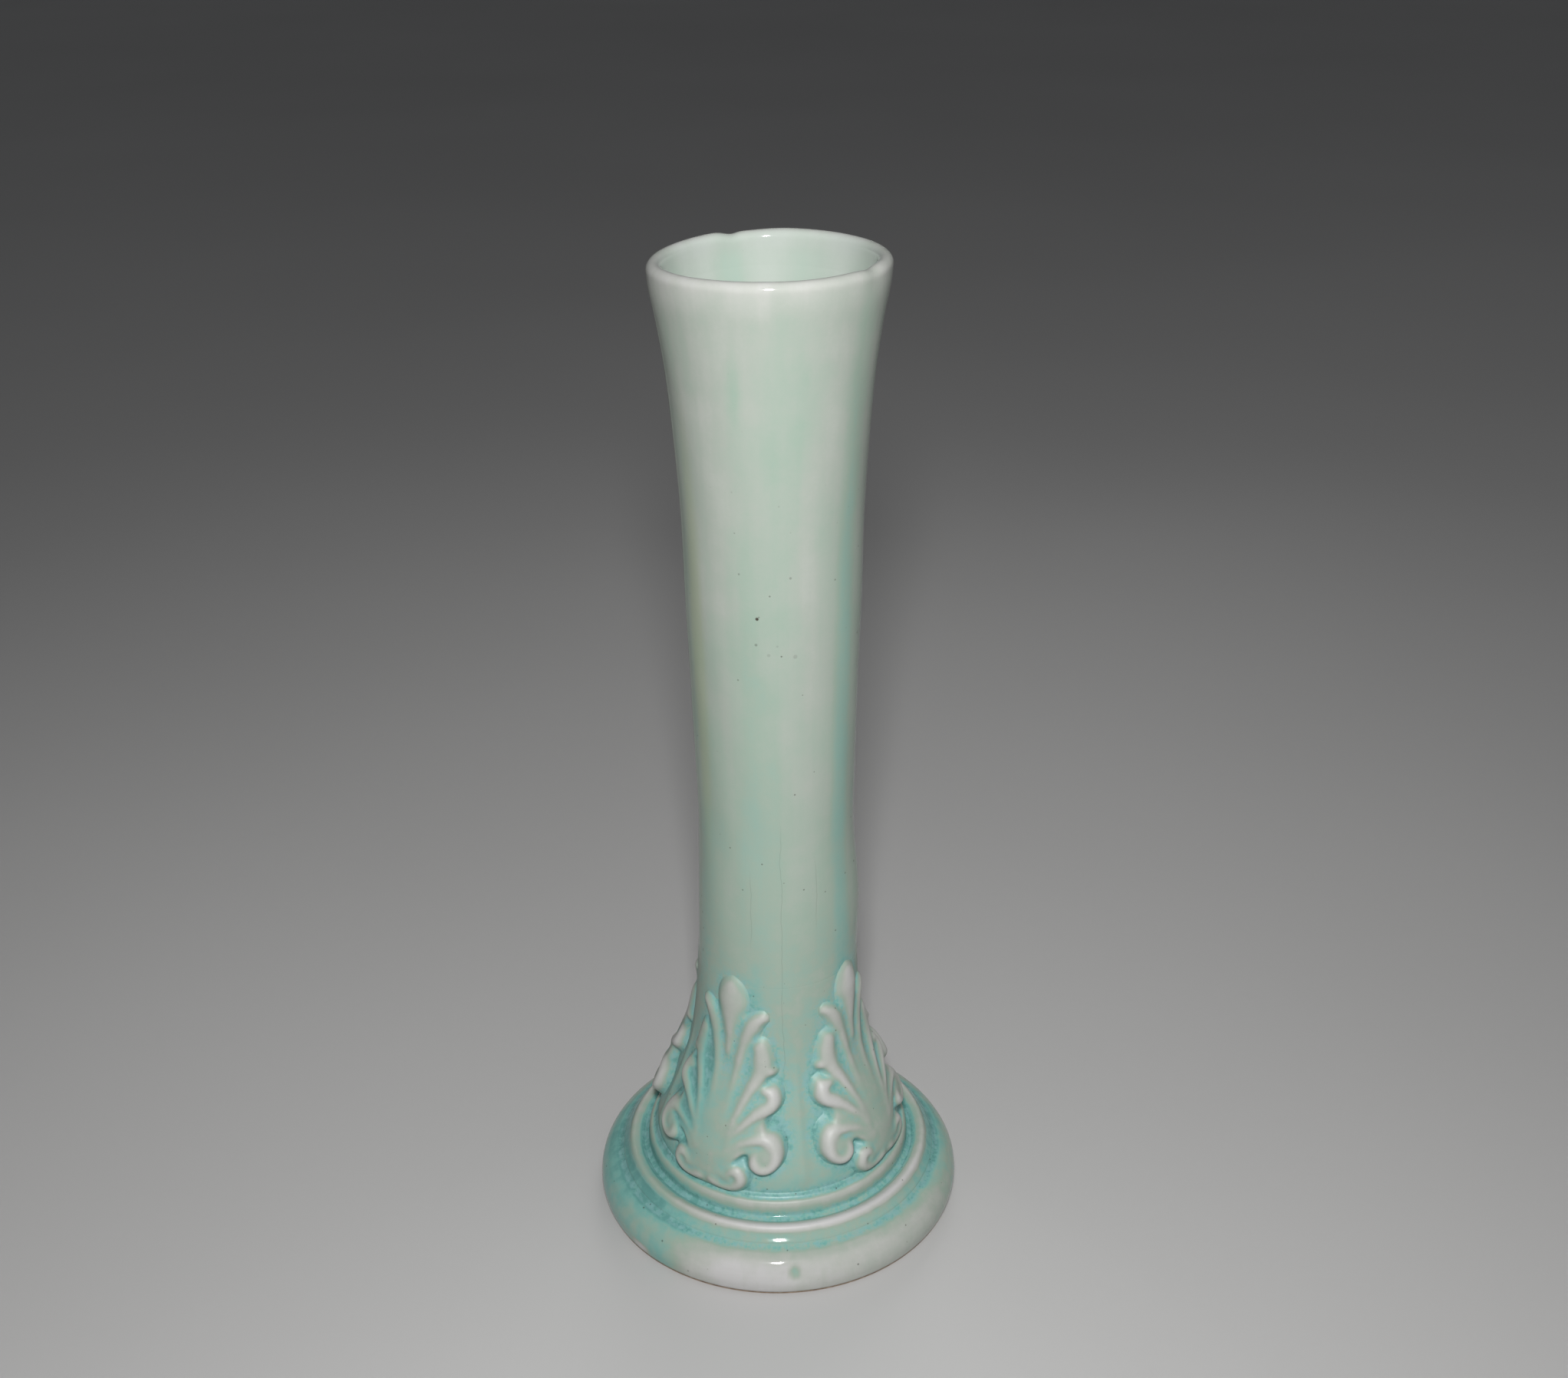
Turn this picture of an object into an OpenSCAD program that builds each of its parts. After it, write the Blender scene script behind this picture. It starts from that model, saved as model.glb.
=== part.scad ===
// Bud vase: one slip-cast stem on a moulded round foot, four palmette reliefs
// round the bell of the stem, and a celadon glaze outside and inside.
// Millimetres, +Z up, origin at the centre of the flat ring it stands on.

/* [Stem] */
// Height from the table to the top of the lip
height = 190; // [170:1:210]
// Radius of the lip, over the glaze
lip_r = 20.2; // [19:0.1:23]
// Radius of the stem at its narrowest, over the glaze
waist_r = 14.6; // [13.5:0.1:15.4]
// Height at which the stem is narrowest
waist_z = 88; // [80:1:96]
// Full wall thickness of the stem, clay and both glazes
wall = 2.75; // [2.4:0.05:3.4]

/* [Foot] */
// Radius of the foot at its widest
foot_r = 36.4; // [35.9:0.1:38]
// Height of the foot's rounded edge
foot_h = 7.8; // [7.2:0.1:8.6]
// Radius of the bell where it stands on the foot
bell_r = 24.5; // [24:0.1:25]
// Height of the flat shelf under the two rings
shelf_z = 10; // [9.6:0.1:10.4]
// Height of the step ring's top edge
step_z = 13.6; // [13:0.1:14]
// Middle radius of the bead ring
bead_r = 29.4; // [29.2:0.1:29.8]
// Height of the bead above the shelf
bead_h = 1; // [0.6:0.1:1.4]
// Thickness of the floor, clay only
floor_t = 4; // [3:0.5:5]
// Depth of the hollow under the foot
recess = 2.2; // [1.5:0.1:2.8]

/* [Glaze] */
// Thickness of the outer glaze coat
glaze_t = 0.35; // [0.25:0.05:0.5]
// Thickness of the glaze lining
lining_t = 0.25; // [0.2:0.05:0.4]
// Height at which the outer glaze stops above the table
glaze_stop = 0.5; // [0.4:0.1:1]

/* [Palmettes] */
// Azimuth of the front left palmette's axis, 0 facing -Y and positive towards +X
first_azimuth = -33; // [-45:1:-20]
// Height of the ribs and lobes above the bell, where they stand out most
relief_h = 3.2; // [2.4:0.1:3.4]
// Depth of the hollows between the ribs
hollow_d = 1.1; // [0.6:0.1:1.6]

/* [Hidden] */
$fn = 96;
PITCH = 90;              // azimuth from one palmette to the next
LIP_ROUND = wall / 2;    // the lip is a half circle as wide as the wall
SINK = 0.2;              // depth that a palmette's back lies under the glaze surface
SKIN = 0.12;             // least height of a palmette above the glaze surface
BELL_TOP = 57;           // height at which the bell has become the plain stem
LEAF_FOOT = 14.5;        // height at which the leaves end, just above the step ring
LEAF_TIP = 57.4;
COLUMNS = 36;            // facets across a palmette's front
ROWS = 38;               // facets up a palmette
BACK_COLUMNS = 6;        // facets across a palmette's back
CLAY = [0.86, 0.78, 0.70];
CELADON = [0.66, 0.76, 0.70];
TURQUOISE = [0.50, 0.70, 0.64];
CREAM = [0.80, 0.82, 0.76];

// Catmull-Rom curve through pts, n steps to a span
function span(a, b, c, d, t) =
    (2 * b + (c - a) * t + (2 * a - 5 * b + 4 * c - d) * t * t
     + (3 * b - a - 3 * c + d) * t * t * t) / 2;
function smooth(pts, n) = let (last = len(pts) - 1) concat(
    [for (i = [0 : last - 1], k = [0 : n - 1])
        span(pts[max(i - 1, 0)], pts[i], pts[i + 1], pts[min(i + 2, last)], k / n)],
    [pts[last]]);

// The line pts moved d towards its left-hand side
function unit(v) = v / norm(v);
function shifted(pts, d) = let (last = len(pts) - 1) [for (i = [0 : last])
    let (t = unit(pts[min(i + 1, last)] - pts[max(i - 1, 0)])) pts[i] + d * [-t[1], t[0]]];
function turned(pts) = [for (i = [len(pts) - 1 : -1 : 0]) pts[i]];
function arc(c, r, from, to, n) =
    [for (k = [0 : n]) let (t = from + (to - from) * k / n) c + r * [cos(t), sin(t)]];

// Outer edge of the shelf, just past the bead
BEAD_HALF_W = 1.6;
SHELF_R = bead_r + BEAD_HALF_W + 0.05;
// The bell tapers a little behind the step ring
BELL_FOOT_R = bell_r + 0.3;
// Outside of the glaze, in [radius, height]: rounded edge of the foot ...
FOOT_EDGE = smooth([
    [foot_r - 0.3, glaze_stop], [foot_r, foot_h * 0.4], [foot_r - 0.35, foot_h * 0.67],
    [foot_r - 1.25, foot_h * 0.88], [foot_r - 2.5, foot_h], [bead_r + 2.9, foot_h + 0.1],
    [bead_r + 2, foot_h + 0.7], [SHELF_R, shelf_z]], 4);
// ... the bell, from where it leaves the step ring ...
BELL = [[bell_r, step_z + 1], [bell_r - 0.6, 17.5], [bell_r - 2.2, 22], [bell_r - 4.6, 28],
        [17.5, 35], [16.4, 41], [15.8, 48], [15.35, BELL_TOP]];
// ... and the stem up to where the lip's round starts
flare = lip_r - waist_r;
rise = height - waist_z;
STEM = [[waist_r + 0.5, 66], [waist_r + 0.15, waist_z - 10], [waist_r, waist_z],
        [waist_r + 0.07 * flare, waist_z + 0.2 * rise],
        [waist_r + 0.16 * flare, waist_z + 0.39 * rise],
        [waist_r + 0.25 * flare, waist_z + 0.58 * rise],
        [waist_r + 0.48 * flare, waist_z + 0.78 * rise],
        [waist_r + 0.71 * flare, waist_z + 0.89 * rise],
        [waist_r + 0.94 * flare, waist_z + 0.955 * rise]];
LIP_START = [lip_r, height - LIP_ROUND];
LIP_CENTRE = [lip_r - LIP_ROUND, height - LIP_ROUND];
STEM_LINE = smooth(concat(BELL, STEM, [LIP_START]), 4);

// The same line moved in by d, and round the lip up to the seam where the two glazes meet
LIP_SEAM = [80, 90];     // angle round the lip of that seam, on the glaze and on the clay
function up_to_lip(d, seam) =
    concat(shifted(STEM_LINE, d), arc(LIP_CENTRE, LIP_ROUND - d, 0, seam, 6));
CLAY_STEM = up_to_lip(glaze_t, LIP_SEAM[1]);
CLAY_FOOT = [for (p = shifted(FOOT_EDGE, glaze_t)) if (p[1] < shelf_z - glaze_t) p];
CLAY_CORNER = [[SHELF_R - glaze_t, shelf_z - glaze_t], [BELL_FOOT_R - glaze_t, shelf_z - glaze_t]];

// Inside of the vase, from the top of the lip down to the middle of the floor
FLOOR_Z = recess + floor_t;
WELL_R = bell_r - wall;
WELL_ROUND = 5;
LINED_DOWN_TO = 18;      // below this the inside is a round-cornered well, not a copy of the outside
function well(d) = concat(
    turned(arc([WELL_R - WELL_ROUND + d, FLOOR_Z + WELL_ROUND], WELL_ROUND, -90, 0, 6)),
    [[0, FLOOR_Z]]);
INNER_CLAY = concat(
    arc(LIP_CENTRE, LIP_ROUND - glaze_t, LIP_SEAM[1], 180, 6),
    turned([for (p = shifted(STEM_LINE, wall - lining_t)) if (p[1] > LINED_DOWN_TO) p]),
    well(lining_t));
INNER_GLAZE = concat(
    arc(LIP_CENTRE, LIP_ROUND, LIP_SEAM[0], 180, 10),
    turned([for (p = shifted(STEM_LINE, wall)) if (p[1] > LINED_DOWN_TO) p]),
    [for (p = well(0)) p + [0, lining_t]]);

// Radius of the glazed bell and stem at height z
BELL_LOOKUP = [for (p = STEM_LINE) [p[1], p[0]]];
function ground(z) = lookup(z, BELL_LOOKUP);

// Half width of a palmette, in degrees of azimuth, at height z
function leaf_half(z) = lookup(z, [[14.5, 19], [17, 21], [19, 33], [22, 38], [30, 38], [36, 37],
                                   [40, 34.5], [45, 28], [50, 24], [52, 12], [55, 9.5], [57.4, 3]]);

// Half width of the blade that joins the leaf's lobes, in degrees of azimuth, at height z
function blade_half(z) = lookup(z, [[14.5, 18], [19.5, 17], [22.5, 21], [26.5, 31], [31.5, 29],
                                    [36.5, 25], [40.5, 21], [45, 13.5], [50.5, 10], [57.4, 3]]);

// How far a leaf stands out from the bell at height z, as a share of relief_h
function stand_out(z) = lookup(z, [[14.5, 0.7], [18, 0.88], [22, 1], [28, 1], [33, 0.78], [38, 0.5],
                                   [44, 0.36], [52, 0.4], [57.4, 0.2]]);

// Ribs of one half leaf: height as a share of stand_out, then [azimuth from the axis, z, half width]
RIBS = [
    [0.98, [[0, 55, 1.8], [0, 53.6, 3], [0, 51.8, 3.4], [0, 49.6, 3], [0, 47, 2.2], [0, 44, 1.5],
            [0, 40.5, 1]]],
    [0.95, [[23.6, 49.3, 1.1], [20, 48.7, 1.5], [16, 47.4, 1.9], [12.8, 45.3, 1.9], [10, 42.4, 1.6],
            [7.8, 38.7, 1.35], [6.1, 35, 1.2], [4.7, 30, 1.1], [3.5, 25, 1]]],
    [1.00, [[21.6, 43, 1.9], [22.8, 41.3, 2.2], [23.2, 39.2, 2.4], [20.8, 36.9, 2.1], [17, 34.5, 1.75],
            [13.5, 31.8, 1.5], [10.5, 28.6, 1.3], [7.9, 24.8, 1.1]]],
    [0.97, [[28.8, 38.2, 1.3], [26, 38.5, 1.7]]],
    [1.00, [[25, 34.6, 1.3], [29.4, 34.2, 1.6], [30.2, 32.6, 1.9], [27.6, 31.8, 2.3], [23.6, 31, 2],
            [19, 29.7, 1.7], [14.8, 28, 1.45], [11.2, 26.2, 1.25], [8.4, 23.8, 1.1]]],
    [0.97, [[6.5, 22, 1.05], [11.5, 23.9, 1.2], [17, 25.2, 1.4], [23, 25.9, 1.6], [28, 25.9, 1.75],
            [31.4, 24.5, 1.8], [31.9, 22.4, 1.8], [29.6, 20.9, 1.8], [26, 20.4, 1.8], [22.8, 21.2, 1.7],
            [22.3, 22.8, 1.4], [24.2, 23.9, 1.1]]],
    [0.86, [[26.6, 24, 2.1], [27, 22.6, 2.2]]],
    [0.97, [[3, 16.3, 1.6], [7.5, 15.6, 1.4], [12.3, 15.7, 1.5], [15.8, 16.8, 1.6], [16.4, 18.2, 1.6],
            [14.4, 19.4, 1.6], [11.9, 19.1, 1.4], [10.8, 18.2, 1.1]]],
    [0.78, [[11.5, 17.4, 1.8], [8.5, 18, 1.8], [6, 19, 1.6]]]];

// Ribs unrolled on the bell, in millimetres
function unrolled(a, z) = a * PI / 180 * ground(z);
RIB_LINES = [for (rib = RIBS)
    [rib[0], smooth([for (p = rib[1]) [unrolled(p[0], p[1]), p[1], p[2]]], 2)]];

// Height of a round-topped rib, from its segment a-b, at the point p
function bump(p, a, b) = let (
    run = [b[0] - a[0], b[1] - a[1]], off = [p[0] - a[0], p[1] - a[1]],
    t = min(1, max(0, (off * run) / (run * run))),
    d = norm(off - t * run) / (a[2] + (b[2] - a[2]) * t))
    d < 1 ? pow(1 - d * d, 0.4) : 0;
function ribs_at(p) = max([for (line = RIB_LINES, i = [0 : len(line[1]) - 2])
    let (a = line[1][i], b = line[1][i + 1])
    abs(p[1] - (a[1] + b[1]) / 2) > 5 ? 0 : line[0] * bump(p, a, b)]);
// The blade between the ribs lies lower than they do, and falls to the bell at its edge
function blade_at(a, z) = let (u = min(1, a / blade_half(z)))
    max(0, relief_h * stand_out(z) - hollow_d) * (1 - pow(u, 5));

// Half a leaf's front, rows from its foot to its tip, columns from its axis out
function row_z(j) = LEAF_FOOT + (LEAF_TIP - LEAF_FOOT) * j / ROWS;
HALF = COLUMNS / 2;
HEIGHTS = [for (j = [0 : ROWS]) let (z = row_z(j)) [for (i = [0 : HALF])
    let (a = leaf_half(z) * i / HALF)
    SKIN + (i == HALF ? 0
        : max(relief_h * stand_out(z) * ribs_at([unrolled(a, z), z]), blade_at(a, z)))]];

function on_bell(azimuth, z, h) = let (r = ground(z) + h) [r * sin(azimuth), -r * cos(azimuth), z];
function front_index(i, j) = j * (COLUMNS + 1) + i;
BACK_START = (ROWS + 1) * (COLUMNS + 1);
function back_index(k, j) = k == 0 ? front_index(0, j)
    : k == BACK_COLUMNS ? front_index(COLUMNS, j)
    : BACK_START + j * (BACK_COLUMNS - 1) + k - 1;
// Closes the strip between the fine front edge and the coarse back edge of row j
PER_BACK = COLUMNS / BACK_COLUMNS;
function rim_fan(j) = [for (k = [0 : BACK_COLUMNS - 1]) concat(
    [for (i = [k * PER_BACK : (k + 1) * PER_BACK]) front_index(i, j)],
    k == BACK_COLUMNS - 1 ? [] : [back_index(k + 1, j)],
    k == 0 ? [] : [back_index(k, j)])];
function reversed(faces) = [for (f = faces) turned(f)];

module palmette(axis) {
    front = [for (j = [0 : ROWS], i = [-HALF : HALF]) let (z = row_z(j))
        on_bell(axis + leaf_half(z) * i / HALF, z, HEIGHTS[j][abs(i)])];
    back = [for (j = [0 : ROWS], k = [1 : BACK_COLUMNS - 1]) let (z = row_z(j))
        on_bell(axis + leaf_half(z) * (2 * k / BACK_COLUMNS - 1), z, -SINK)];
    front_faces = [for (j = [0 : ROWS - 1], i = [0 : COLUMNS - 1]) each [
        [front_index(i, j), front_index(i, j + 1), front_index(i + 1, j + 1)],
        [front_index(i, j), front_index(i + 1, j + 1), front_index(i + 1, j)]]];
    back_faces = [for (j = [0 : ROWS - 1], k = [0 : BACK_COLUMNS - 1]) each [
        [back_index(k, j), back_index(k + 1, j + 1), back_index(k, j + 1)],
        [back_index(k, j), back_index(k + 1, j), back_index(k + 1, j + 1)]]];
    polyhedron(concat(front, back),
        concat(front_faces, back_faces, rim_fan(0), reversed(rim_fan(ROWS))));
}

// Cast clay: stem, bell, floor and foot, bare under the foot
module clay_body() {
    FOOT_RING_R = foot_r - 0.9;
    RECESS_R = foot_r - 5.4;
    color(CLAY) rotate_extrude() polygon(concat(
        [[0, recess], [RECESS_R - 0.8, recess], [RECESS_R, 0], [FOOT_RING_R, 0]],
        CLAY_FOOT, CLAY_CORNER, CLAY_STEM, INNER_CLAY));
}

module glaze_outside() {
    color(CELADON) rotate_extrude() polygon(concat(
        FOOT_EDGE, [[BELL_FOOT_R, shelf_z]], up_to_lip(0, LIP_SEAM[0]),
        turned(CLAY_STEM), turned(CLAY_CORNER), turned(CLAY_FOOT)));
}

module glaze_inside() {
    color(CELADON) rotate_extrude() polygon(concat(INNER_CLAY, turned(INNER_GLAZE)));
}

// Step at the foot of the bell, with a rounded top edge
module step_ring() {
    color(TURQUOISE) rotate_extrude() polygon(concat(
        [[BELL_FOOT_R, shelf_z], [bell_r + 2.3, shelf_z]],
        arc([bell_r + 1.1, step_z - 0.9], 0.9, -10, 90, 6),
        [[bell_r, step_z + 1]]));
}

// Raised bead between the foot's two grooves
module bead_ring() {
    color(CREAM) rotate_extrude() translate([bead_r, shelf_z]) polygon(
        [for (k = [0 : 12]) let (t = 180 * k / 12) [BEAD_HALF_W * cos(t), bead_h * sin(t)]]);
}

module palmette_front_left() color(TURQUOISE) palmette(first_azimuth);
module palmette_front_right() color(TURQUOISE) palmette(first_azimuth + PITCH);
module palmette_back_right() color(TURQUOISE) palmette(first_azimuth + 2 * PITCH);
module palmette_back_left() color(TURQUOISE) palmette(first_azimuth - PITCH);

clay_body();
glaze_outside();
glaze_inside();
step_ring();
bead_ring();
palmette_front_left();
palmette_front_right();
palmette_back_right();
palmette_back_left();
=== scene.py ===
import math

import bpy
import numpy as np
from mathutils import Euler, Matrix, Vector


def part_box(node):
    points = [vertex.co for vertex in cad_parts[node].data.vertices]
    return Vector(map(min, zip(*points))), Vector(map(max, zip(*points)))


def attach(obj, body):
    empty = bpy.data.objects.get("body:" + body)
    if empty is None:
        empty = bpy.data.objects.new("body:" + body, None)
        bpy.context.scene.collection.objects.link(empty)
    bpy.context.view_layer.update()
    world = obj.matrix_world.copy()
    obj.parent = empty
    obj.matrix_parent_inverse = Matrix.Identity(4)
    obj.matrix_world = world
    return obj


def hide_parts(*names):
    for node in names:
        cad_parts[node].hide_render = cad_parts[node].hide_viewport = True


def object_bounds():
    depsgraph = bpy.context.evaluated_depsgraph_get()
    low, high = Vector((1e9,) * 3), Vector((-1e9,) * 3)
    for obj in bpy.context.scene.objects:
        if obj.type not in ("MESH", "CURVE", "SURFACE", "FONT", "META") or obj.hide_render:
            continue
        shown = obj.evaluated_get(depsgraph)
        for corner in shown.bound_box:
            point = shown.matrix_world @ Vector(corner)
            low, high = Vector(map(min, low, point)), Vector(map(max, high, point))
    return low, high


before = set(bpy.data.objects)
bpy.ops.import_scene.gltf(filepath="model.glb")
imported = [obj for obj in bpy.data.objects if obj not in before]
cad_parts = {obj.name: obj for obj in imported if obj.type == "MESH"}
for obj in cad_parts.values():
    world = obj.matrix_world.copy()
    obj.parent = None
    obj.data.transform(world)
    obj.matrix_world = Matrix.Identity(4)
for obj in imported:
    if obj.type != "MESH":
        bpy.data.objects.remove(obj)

# A slip-cast bud vase under a celadon glaze. The glaze is thin and pale on every edge and
# pools turquoise in every hollow, so each glazed surface carries values for its material:
# "pool" (hollow above 0, edge below 0), a depth (how deep the colour is there, 0 to 1, with some
# painted shade and light on two leaves), "gloss" (its shine, 0 to 1), "warm" (a yellower tinge)
# and "mint" (1 inside the mouth).
# Outlines and reliefs are worked out in millimetres. Azimuths are 0 towards -Y, positive to +X.

# ------------------------------------------------------------------ sizes, from the frame
CAD_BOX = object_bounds()
MM = 0.001
HEIGHT = CAD_BOX[1].z / MM
FOOT_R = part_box("glaze_outside")[1].x / MM
GLAZE_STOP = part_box("glaze_outside")[0].z / MM
BEAD_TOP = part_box("bead_ring")[1].z / MM
BEAD_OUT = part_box("bead_ring")[1].x / MM
STEP_REACH = 1           # how far the CAD's step ring goes on up, under the bell's glaze
STEP_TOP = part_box("step_ring")[1].z / MM - STEP_REACH
STEP_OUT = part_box("step_ring")[1].x / MM
LEAF_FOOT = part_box("palmette_front_left")[0].z / MM
LEAF_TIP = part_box("palmette_front_left")[1].z / MM
GLAZE_T = 0.35           # depth of the outer coat of glaze
LINING_T = 0.25          # depth of the lining
FLOOR_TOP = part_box("glaze_inside")[0].z / MM + LINING_T
RING_T = 0.6             # depth of the bead and the step, under their surface
WALL = 2.75              # clay and both glazes
LIP_ROUND = WALL / 2     # the lip is a half circle
LIP_R = 20.4
WAIST_R = 14.6           # the stem where it is narrowest, at WAIST_Z
WAIST_Z = 88.0
BELL_R = 24.5            # the bell where it stands on the step
WELL_ROUND = 5.0         # rounding of the well's lower edge
RECESS = 2.2             # hollow under the foot
AXIS_R = 0.05            # how near the axis a closed surface goes

# ------------------------------------------------------------------ camera, lights, floor
CAMERA_AT = (0.0022, -0.3102, 0.2614)
CAMERA_PITCH = 25.93     # degrees below the horizon
CAMERA_ROLL = -0.58
SENSOR = 36.0            # mm, its width
FRAME_WIDTH = 2044       # of the picture
FOCAL_LENGTH = 2471      # in the same units as the picture's width
LENS = SENSOR * FOCAL_LENGTH / FRAME_WIDTH
# Area lights: name, place, aim, size, power in watts, whether gloss shows it, spread in degrees
LIGHTS = [
    ("key", (0.0, -0.31, 0.331), (0, 0, 0.085), (0.035, 0.05), 1.61, True, 180),
    ("overhead", (0.4, -0.2, 0.85), (0, 0, 0.1), (1.0, 1.0), 1.2, False, 180),
    ("back", (0.1, 0.7, 0.42), (0, 0, 0.11), (0.4, 0.3), 0.13, False, 50)]
SKY_COLOUR = (0.95, 0.97, 1.0, 1)
SKY_STRENGTH = 0.08
FLOOR_HALF = 4           # m, half the side of the floor


def add_object(name, data):
    made = bpy.data.objects.new(name, data)
    bpy.context.scene.collection.objects.link(made)
    return made


def add_camera():
    data = bpy.data.cameras.new("camera")
    data.lens, data.sensor_width = LENS, SENSOR
    data.clip_start, data.clip_end = 0.01, 50.0
    camera = add_object("camera", data)
    camera.rotation_mode = "QUATERNION"
    look = Euler((math.radians(90 - CAMERA_PITCH), 0, 0)).to_quaternion()
    camera.rotation_quaternion = look @ Euler((0, 0, math.radians(CAMERA_ROLL))).to_quaternion()
    camera.location = CAMERA_AT
    bpy.context.scene.camera = camera


def add_light(name, at, aim, size, power, glossy, spread):
    data = bpy.data.lights.new(name, "AREA")
    data.spread = math.radians(spread)
    data.shape = "RECTANGLE"
    data.size, data.size_y = size
    data.energy = power
    light = add_object(name, data)
    light.location = at
    light.rotation_mode = "QUATERNION"
    light.rotation_quaternion = (Vector(aim) - Vector(at)).to_track_quat("-Z", "Y")
    light.visible_glossy = glossy
    light.visible_camera = False


def add_lights():
    for light in LIGHTS:
        add_light(*light)
    world = bpy.data.worlds.new("studio")
    world.use_nodes = True
    sky = world.node_tree.nodes["Background"]
    sky.inputs["Color"].default_value = SKY_COLOUR
    sky.inputs["Strength"].default_value = SKY_STRENGTH
    bpy.context.scene.world = world


# ------------------------------------------------------------------ numbers and grids
def step(a, b, x):
    """Smooth step from 0 at a to 1 at b."""
    t = np.clip((x - a) / (b - a), 0, 1)
    return t * t * (3 - 2 * t)


def smooth(points, steps=8):
    """Catmull-Rom curve through the points, so many steps to a span."""
    p = np.array(points, float)
    last = len(p) - 1
    out = []
    for i in range(last):
        a, b, c, d = p[max(i - 1, 0)], p[i], p[i + 1], p[min(i + 2, last)]
        for t in np.arange(steps) / steps:
            out.append((2 * b + (c - a) * t + (2 * a - 5 * b + 4 * c - d) * t ** 2
                        + (3 * b - a - 3 * c + d) * t ** 3) / 2)
    return np.array(out + [p[-1]])


def arc(centre, radius, start, end, steps=12):
    t = np.radians(np.linspace(start, end, steps + 1))
    return np.stack([centre[0] + radius * np.cos(t), centre[1] + radius * np.sin(t)], -1)


def lengths(line):
    return np.concatenate([[0], np.cumsum(np.linalg.norm(np.diff(line[:, :2], axis=0), axis=1))])


def respaced(line, spacing):
    """The line with its points set along it by spacing(z), in mm."""
    run = lengths(line)
    at = [0.0]
    while at[-1] < run[-1]:
        at.append(at[-1] + spacing(np.interp(at[-1], run, line[:, 1])))
    at = np.array(at) * run[-1] / at[-1]
    return np.stack([np.interp(at, run, line[:, k]) for k in range(line.shape[1])], -1)


def normals(line):
    """Unit normals of a (radius, z) line, to its right-hand side: out of the clay."""
    along = np.gradient(line[:, :2], axis=0)
    along /= np.linalg.norm(along, axis=1)[:, None]
    return np.stack([along[:, 1], -along[:, 0]], -1)


def blurred(field, sigma):
    """Gaussian blur of a 2-D field, or of a line's columns down its rows; sigma in cells."""
    reach = int(math.ceil(3 * max(sigma)))
    for axis, s in enumerate(sigma):
        if s <= 0:
            continue
        kernel = np.exp(-0.5 * (np.arange(-reach, reach + 1) / s) ** 2)
        kernel /= kernel.sum()
        pad = [(0, 0), (0, 0)]
        pad[axis] = (reach, reach)
        padded = np.pad(field, pad, mode="edge")
        field = sum(k * np.take(padded, np.arange(i, i + field.shape[axis]), axis)
                    for i, k in enumerate(kernel))
    return field


def grid_piece(name, points, attributes, wrap_columns):
    """A closed piece from rows x columns of points in mm, one float per point and attribute."""
    rows, columns = points.shape[:2]
    index = np.arange(rows * columns).reshape(rows, columns)
    index = np.concatenate([index, index[:1]])
    if wrap_columns:
        index = np.concatenate([index, index[:, :1]], 1)
    faces = np.stack([index[:-1, :-1], index[:-1, 1:], index[1:, 1:], index[1:, :-1]], -1)
    faces = faces.reshape(-1, 4)
    if not wrap_columns:     # close both ends of the folded grid
        half = rows // 2
        for column, turn in ((0, 1), (columns - 1, -1)):
            front = np.arange(half) * columns + column
            back = (rows - 1 - np.arange(half)) * columns + column
            ends = np.stack([front[:-1], front[1:], back[1:], back[:-1]], -1)[:, ::turn]
            faces = np.concatenate([faces, ends])
    mesh = bpy.data.meshes.new(name)
    mesh.vertices.add(rows * columns)
    mesh.vertices.foreach_set("co", (points * MM).astype(np.float32).ravel())
    mesh.loops.add(faces.size)
    mesh.loops.foreach_set("vertex_index", faces.astype(np.int32).ravel())
    mesh.polygons.add(len(faces))
    mesh.polygons.foreach_set("loop_start", np.arange(0, faces.size, 4, dtype=np.int32))
    mesh.polygons.foreach_set("use_smooth", np.ones(len(faces), bool))
    mesh.update(calc_edges=True)
    for key, values in attributes.items():
        full = np.broadcast_to(values, points.shape[:2])
        mesh.attributes.new(key, "FLOAT", "POINT").data.foreach_set(
            "value", np.ascontiguousarray(full, np.float32).ravel())
    return add_object(name, mesh)


# ------------------------------------------------------------------ outline of the vase
# Points are (radius, z). The mouldings run from the bare edge of the foot over its round, the
# groove, the bead, the second groove and the step, to the foot of the bell.
FLARE = LIP_R - WAIST_R
RISE = HEIGHT - WAIST_Z
MOULDINGS = smooth([
    (FOOT_R - 0.35, GLAZE_STOP), (FOOT_R - 0.12, 1.3), (FOOT_R, 3.0), (FOOT_R - 0.45, 4.9),
    (FOOT_R - 1.5, 6.5), (FOOT_R - 2.9, 7.5), (BEAD_OUT + 1.9, 7.7), (BEAD_OUT + 1.2, 8.0),
    (BEAD_OUT + 0.6, 8.65), (BEAD_OUT + 0.05, 9.2), (BEAD_OUT - 0.4, 9.75), (BEAD_OUT - 0.75, 10.4),
    (BEAD_OUT - 1.1, BEAD_TOP - 0.15), (BEAD_OUT - 1.6, BEAD_TOP), (BEAD_OUT - 2.5, 10.75),
    (BEAD_OUT - 3.5, 10.25), (STEP_OUT + 0.2, 10.1), (STEP_OUT - 0.35, 10.7),
    (STEP_OUT - 0.5, 11.9), (STEP_OUT - 0.65, STEP_TOP - 0.8), (STEP_OUT - 1.0, STEP_TOP - 0.15),
    (STEP_OUT - 1.6, STEP_TOP + 0.05), (BELL_R + 0.3, STEP_TOP + 0.35)], 12)
BELL = [(BELL_R, STEP_TOP + 1), (BELL_R - 0.6, 17.5), (BELL_R - 2.2, 22), (BELL_R - 4.6, 28),
        (17.5, 35), (16.4, 41), (15.8, 48), (15.35, 57)]
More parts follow.
